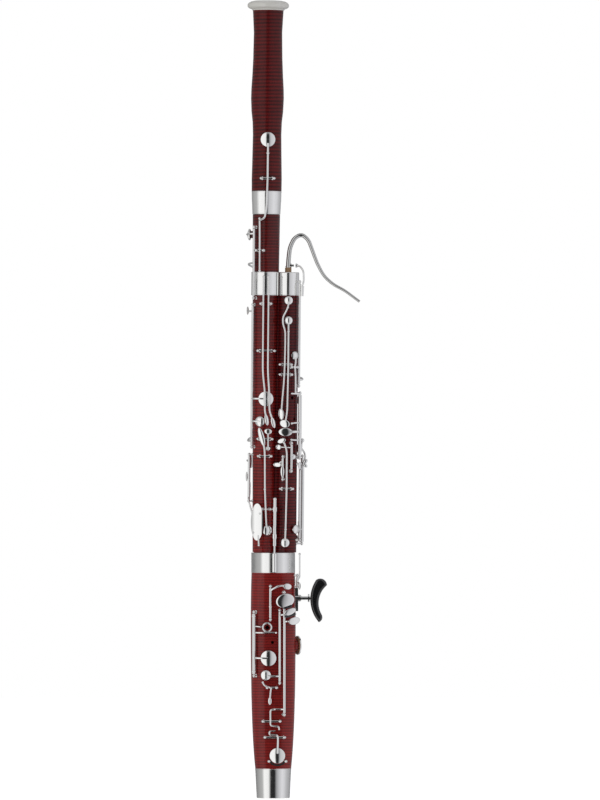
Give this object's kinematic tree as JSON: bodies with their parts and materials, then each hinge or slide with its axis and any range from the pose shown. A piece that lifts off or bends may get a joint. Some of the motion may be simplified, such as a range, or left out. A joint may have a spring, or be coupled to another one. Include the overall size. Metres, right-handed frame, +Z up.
{
  "type": "bassoon",
  "caption": "Upright double-reed woodwind: oval double boot, wing and long joints side by side, bell with pale ring, curved crook, plated keys on pillars and a hand rest.",
  "frame": {"origin": "centre of the boot cap's flat base", "axes": "+Z up along the boot, -Y towards the finger holes, +X towards the wing joint and hand rest"},
  "size_m": [0.1927, 0.0784, 1.3403],
  "materials": {
    "maple": "red-brown varnished flamed maple, gloss",
    "silver": "silver plated, polished",
    "brass": "drawn brass tube",
    "ivory": "ivory-white polished resin",
    "ebonite": "black polished hard rubber",
    "cork": "waxed cork",
    "leather": "pad leather"
  },
  "bodies": {
    "root": {"boot_body": "maple", "boot_ferrule": "silver", "boot_cap": "silver", "boot_u_tube": "brass", "boot_posts": "silver", "boot_pad_guard": "silver", "handrest_socket": "silver", "strap_ring": "silver", "lock_socket": "silver"},
    "wing": {"wing_body": "maple", "wing_ferrule": "silver", "wing_liner": "ebonite", "wing_posts": "silver"},
    "bass": {"bass_body": "maple", "bass_band": "silver", "bass_posts": "silver", "bass_key_guard": "silver"},
    "bell": {"bell_body": "maple", "bell_ring": "ivory", "bell_ferrule": "silver", "bell_posts": "silver"},
    "lock_pin": {"lock_pin": "silver"},
    "handrest_stem": {"handrest_stem": "silver"},
    "handrest_crutch": {"handrest_crutch": "ebonite"},
    "handrest_screw": {"handrest_screw": "silver"},
    "bocal_cork": {"bocal_cork": "cork"},
    "bocal": {"bocal_tube": "silver"},
    "bell_key": {"bell_key": "silver"},
    "bell_link": {"bell_link": "silver"},
    "b_flat_thumb_key": {"b_flat_thumb_key": "silver"},
    "low_b_key": {"low_b_key": "silver"},
    "c_sharp_lever": {"c_sharp_lever": "silver"},
    "e_flat_lever": {"e_flat_lever": "silver"},
    "low_c_key": {"low_c_key": "silver"},
    "long_lever_key": {"long_lever_key": "silver"},
    "short_oval_key": {"short_oval_key": "silver"},
    "low_d_key": {"low_d_key": "silver"},
    "upper_trill_key": {"upper_trill_key": "silver"},
    "lower_trill_key": {"lower_trill_key": "silver"},
    "upper_vent_key": {"upper_vent_key": "silver"},
    "whisper_key": {"whisper_key": "silver"},
    "third_finger_key": {"third_finger_key": "silver"},
    "low_ring_lever": {"low_ring_lever": "silver"},
    "side_oval_key": {"side_oval_key": "silver"},
    "side_bar_key": {"side_bar_key": "silver"},
    "right_hand_vent_key": {"right_hand_vent_key": "silver"},
    "resonance_key": {"resonance_key": "silver"},
    "flick_key_1": {"flick_key_1": "silver"},
    "flick_key_2": {"flick_key_2": "silver"},
    "a_flat_key": {"a_flat_key": "silver"},
    "g_key": {"g_key": "silver"},
    "b_flat_key": {"b_flat_key": "silver"},
    "low_f_key": {"low_f_key": "silver"},
    "f_link_key": {"f_link_key": "silver"},
    "low_cup_key": {"low_cup_key": "silver"},
    "guard_lever_key": {"guard_lever_key": "silver"},
    "low_e_pancake_key": {"low_e_pancake_key": "silver"},
    "f_sharp_thumb_key": {"f_sharp_thumb_key": "silver"},
    "side_lock_lever": {"side_lock_lever": "silver"}
  },
  "joints": [
    {"name": "wing_pull", "type": "slide", "parent": "root", "child": "wing", "axis": [0.0091, 0, 1], "range_m": [0, 0.04]},
    {"name": "bass_pull", "type": "slide", "parent": "root", "child": "bass", "axis": [0.0091, 0, 1], "range_m": [0, 0.04]},
    {"name": "bell_pull", "type": "slide", "parent": "bass", "child": "bell", "axis": [0.0091, 0, 1], "range_m": [0, 0.03]},
    {"name": "lock_pin_slide", "type": "slide", "parent": "bass", "child": "lock_pin", "axis": [0.0091, 0, 1], "range_m": [0, 0.014]},
    {"name": "bocal_pull", "type": "slide", "parent": "wing", "child": "bocal_cork", "axis": [0.0091, 0, 1], "range_m": [0, 0.012]},
    {"name": "bocal_swivel", "type": "hinge", "parent": "bocal_cork", "child": "bocal", "pos_m": [0.02506, 0, 0.85979], "axis": [0.0091, 0, 1], "range_deg": [-20, 20]},
    {"name": "handrest_reach", "type": "slide", "parent": "root", "child": "handrest_stem", "axis": [1, 0, 0], "range_m": [-0.004, 0.003]},
    {"name": "handrest_turn", "type": "hinge", "parent": "handrest_stem", "child": "handrest_crutch", "pos_m": [0.062, 0, 0.3358], "axis": [1, 0, 0], "range_deg": [-30, 30]},
    {"name": "handrest_screw_turn", "type": "hinge", "parent": "root", "child": "handrest_screw", "pos_m": [0.0432, 0.008, 0.3358], "axis": [0, 1, 0], "range_deg": [0, 270]},
    {"name": "bell_key_hinge", "type": "hinge", "parent": "bell", "child": "bell_key", "pos_m": [-0.01989, -0.0305, 1.04121], "axis": [1, 0, -0.0091], "range_deg": [-3, 0]},
    {"name": "bell_link_hinge", "type": "hinge", "parent": "bass", "child": "bell_link", "pos_m": [-0.02879, -0.026, 0.92028], "axis": [1, 0, -0.0091], "range_deg": [0, 3.7]},
    {"name": "b_flat_thumb_key_hinge", "type": "hinge", "parent": "bass", "child": "b_flat_thumb_key", "pos_m": [-0.01078, 0.02671, 0.64011], "axis": [0.0091, 0, 1], "range_deg": [0, 5], "stiffness_Nm_per_rad": 0.15, "springref_deg": -11.46},
    {"name": "low_b_key_hinge", "type": "hinge", "parent": "bass", "child": "low_b_key", "pos_m": [-0.03309, -0.02037, 0.84032], "axis": [0.0091, 0, 1], "range_deg": [-4, 0], "stiffness_Nm_per_rad": 0.15, "springref_deg": 11.46},
    {"name": "c_sharp_lever_hinge", "type": "hinge", "parent": "bass", "child": "c_sharp_lever", "pos_m": [-0.02562, -0.0285, 0.75175], "axis": [1, 0, -0.0091], "range_deg": [0, 1.2], "stiffness_Nm_per_rad": 0.15, "springref_deg": -11.46},
    {"name": "e_flat_lever_hinge", "type": "hinge", "parent": "bass", "child": "e_flat_lever", "pos_m": [-0.01472, -0.0285, 0.75165], "axis": [1, 0, -0.0091], "range_deg": [0, 1.2], "stiffness_Nm_per_rad": 0.15, "springref_deg": -11.46},
    {"name": "low_c_key_hinge", "type": "hinge", "parent": "bass", "child": "low_c_key", "pos_m": [-0.03628, -0.01491, 0.59034], "axis": [0.0091, 0, 1], "range_deg": [-4, 0], "stiffness_Nm_per_rad": 0.15, "springref_deg": 11.46},
    {"name": "long_lever_key_hinge", "type": "hinge", "parent": "bass", "child": "long_lever_key", "pos_m": [-0.02473, -0.026, 0.57473], "axis": [1, 0, -0.0091], "range_deg": [-1.9, 0], "stiffness_Nm_per_rad": 0.15, "springref_deg": 11.46},
    {"name": "short_oval_key_hinge", "type": "hinge", "parent": "bass", "child": "short_oval_key", "pos_m": [-0.02556, -0.0248, 0.60364], "axis": [1, 0, -0.0091], "range_deg": [-5, 0], "stiffness_Nm_per_rad": 0.15, "springref_deg": 11.46},
    {"name": "low_d_key_hinge", "type": "hinge", "parent": "bass", "child": "low_d_key", "pos_m": [-0.04094, -0.00443, 0.49938], "axis": [0.0091, 0, 1], "range_deg": [-6, 0], "stiffness_Nm_per_rad": 0.15, "springref_deg": 11.46},
    {"name": "upper_trill_key_hinge", "type": "hinge", "parent": "wing", "child": "upper_trill_key", "pos_m": [0.01147, -0.0226, 0.72861], "axis": [1, 0, -0.0091], "range_deg": [0, 1.9], "stiffness_Nm_per_rad": 0.15, "springref_deg": -11.46},
    {"name": "lower_trill_key_hinge", "type": "hinge", "parent": "wing", "child": "lower_trill_key", "pos_m": [0.01142, -0.0226, 0.71181], "axis": [1, 0, -0.0091], "range_deg": [0, 2], "stiffness_Nm_per_rad": 0.15, "springref_deg": -11.46},
    {"name": "upper_vent_key_hinge", "type": "hinge", "parent": "wing", "child": "upper_vent_key", "pos_m": [0.03133, -0.02315, 0.72423], "axis": [0.8571, 0.515, -0.0078], "range_deg": [0, 3.5], "stiffness_Nm_per_rad": 0.15, "springref_deg": -11.46},
    {"name": "whisper_key_hinge", "type": "hinge", "parent": "wing", "child": "whisper_key", "pos_m": [0.04314, -0.01224, 0.69262], "axis": [0.0091, 0, 1], "range_deg": [0, 6], "stiffness_Nm_per_rad": 0.15, "springref_deg": -11.46},
    {"name": "third_finger_key_hinge", "type": "hinge", "parent": "wing", "child": "third_finger_key", "pos_m": [0.04426, -0.0116, 0.5716], "axis": [0.0091, 0, 1], "range_deg": [-4, 0], "stiffness_Nm_per_rad": 0.15, "springref_deg": 11.46},
    {"name": "low_ring_lever_hinge", "type": "hinge", "parent": "wing", "child": "low_ring_lever", "pos_m": [0.01228, -0.0226, 0.51989], "axis": [1, 0, -0.0091], "range_deg": [-1.9, 0], "stiffness_Nm_per_rad": 0.15, "springref_deg": 11.46},
    {"name": "side_oval_key_hinge", "type": "hinge", "parent": "wing", "child": "side_oval_key", "pos_m": [0.03055, -0.0216, 0.54973], "axis": [0.0091, 0, 1], "range_deg": [-4, 0], "stiffness_Nm_per_rad": 0.15, "springref_deg": 11.46},
    {"name": "side_bar_key_hinge", "type": "hinge", "parent": "wing", "child": "side_bar_key", "pos_m": [0.01572, -0.0224, 0.53586], "axis": [0.0091, 0, 1], "range_deg": [-6, 0], "stiffness_Nm_per_rad": 0.15, "springref_deg": 11.46},
    {"name": "right_hand_vent_key_hinge", "type": "hinge", "parent": "wing", "child": "right_hand_vent_key", "pos_m": [0.04414, -0.00405, 0.4336], "axis": [0.0091, 0, 1], "range_deg": [-6, 0], "stiffness_Nm_per_rad": 0.15, "springref_deg": 11.46},
    {"name": "resonance_key_hinge", "type": "hinge", "parent": "wing", "child": "resonance_key", "pos_m": [0.04803, 0.00474, 0.42756], "axis": [0.0091, 0, 1], "range_deg": [0, 8], "stiffness_Nm_per_rad": 0.15, "springref_deg": -11.46},
    {"name": "flick_key_1_hinge", "type": "hinge", "parent": "wing", "child": "flick_key_1", "pos_m": [0.02878, 0.0226, 0.73975], "axis": [0.0091, 0, 1], "range_deg": [0, 6], "stiffness_Nm_per_rad": 0.15, "springref_deg": -11.46},
    {"name": "flick_key_2_hinge", "type": "hinge", "parent": "wing", "child": "flick_key_2", "pos_m": [0.03079, 0.02171, 0.61973], "axis": [0.0091, 0, 1], "range_deg": [0, 6], "stiffness_Nm_per_rad": 0.15, "springref_deg": -11.46},
    {"name": "a_flat_key_hinge", "type": "hinge", "parent": "root", "child": "a_flat_key", "pos_m": [-0.0046, -0.0314, 0.3005], "axis": [0, 0, 1], "range_deg": [0, 3.5], "stiffness_Nm_per_rad": 0.15, "springref_deg": -11.46},
    {"name": "g_key_hinge", "type": "hinge", "parent": "root", "child": "g_key", "pos_m": [-0.0324, -0.0234, 0.206], "axis": [0, 0, 1], "range_deg": [0, 3.5], "stiffness_Nm_per_rad": 0.15, "springref_deg": -11.46},
    {"name": "b_flat_key_hinge", "type": "hinge", "parent": "root", "child": "b_flat_key", "pos_m": [0.011, -0.0312, 0.194], "axis": [0, 0, 1], "range_deg": [0, 6], "stiffness_Nm_per_rad": 0.15, "springref_deg": -11.46},
    {"name": "low_f_key_hinge", "type": "hinge", "parent": "root", "child": "low_f_key", "pos_m": [0.0188, -0.0312, 0.141], "axis": [0, 0, 1], "range_deg": [0, 4], "stiffness_Nm_per_rad": 0.15, "springref_deg": -11.46},
    {"name": "f_link_key_hinge", "type": "hinge", "parent": "root", "child": "f_link_key", "pos_m": [-0.0172, -0.0284, 0.1296], "axis": [1, 0, 0], "range_deg": [0, 3.4]},
    {"name": "low_cup_key_hinge", "type": "hinge", "parent": "root", "child": "low_cup_key", "pos_m": [-0.0138, -0.0274, 0.1027], "axis": [1, 0, 0], "range_deg": [-3.4, 0]},
    {"name": "guard_lever_key_hinge", "type": "hinge", "parent": "root", "child": "guard_lever_key", "pos_m": [-0.01, -0.03, 0.186], "axis": [1, 0, 0], "range_deg": [0, 4], "stiffness_Nm_per_rad": 0.15, "springref_deg": -11.46},
    {"name": "low_e_pancake_key_hinge", "type": "hinge", "parent": "root", "child": "low_e_pancake_key", "pos_m": [0.02352, 0.0294, 0.205], "axis": [0, 0, 1], "range_deg": [0, 3], "stiffness_Nm_per_rad": 0.15, "springref_deg": -11.46},
    {"name": "f_sharp_thumb_key_hinge", "type": "hinge", "parent": "root", "child": "f_sharp_thumb_key", "pos_m": [-0.02549, 0.02772, 0.122], "axis": [0, 0, 1], "range_deg": [-2.5, 0], "stiffness_Nm_per_rad": 0.15, "springref_deg": 11.46},
    {"name": "side_lock_lever_hinge", "type": "hinge", "parent": "root", "child": "side_lock_lever", "pos_m": [0.0406, -0.008, 0.3555], "axis": [0, 0, 1], "range_deg": [0, 6], "stiffness_Nm_per_rad": 0.15, "springref_deg": -11.46}
  ],
  "couplings": [
    {"joint": "bell_key_hinge", "follows": "b_flat_thumb_key_hinge", "ratio": -0.6},
    {"joint": "bell_link_hinge", "follows": "b_flat_thumb_key_hinge", "ratio": 0.74},
    {"joint": "f_link_key_hinge", "follows": "low_f_key_hinge", "ratio": 0.85},
    {"joint": "low_cup_key_hinge", "follows": "low_f_key_hinge", "ratio": -0.85}
  ]
}
